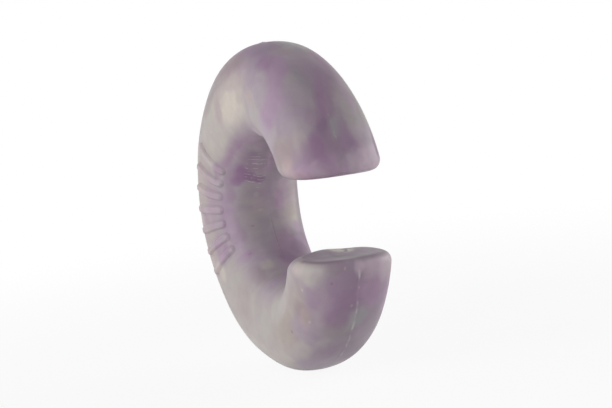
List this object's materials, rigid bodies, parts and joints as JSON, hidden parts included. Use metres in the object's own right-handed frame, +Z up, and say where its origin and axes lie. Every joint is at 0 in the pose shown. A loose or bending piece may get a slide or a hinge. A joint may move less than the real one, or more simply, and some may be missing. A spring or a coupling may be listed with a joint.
{
  "type": "cheek retractor",
  "caption": "Thick open ring moulded in soft marbled rubber, with flat rounded ends facing each other across a gap and raised grip ribs on one flank.",
  "frame": {"origin": "middle of the moulding's box, a little behind the ring's own centre", "axes": "+X out through the gap, +Y along the ring's axis away from the ribbed flank, +Z up along the ring's height from the lower end face to the upper one"},
  "size_m": [0.0565, 0.0181, 0.058],
  "materials": {
    "marbled_rubber": "satin",
    "rib_rubber": "satin"
  },
  "bodies": {
    "root": {"retractor_body": "marbled_rubber", "grip_ribs": "rib_rubber"}
  },
  "joints": []
}
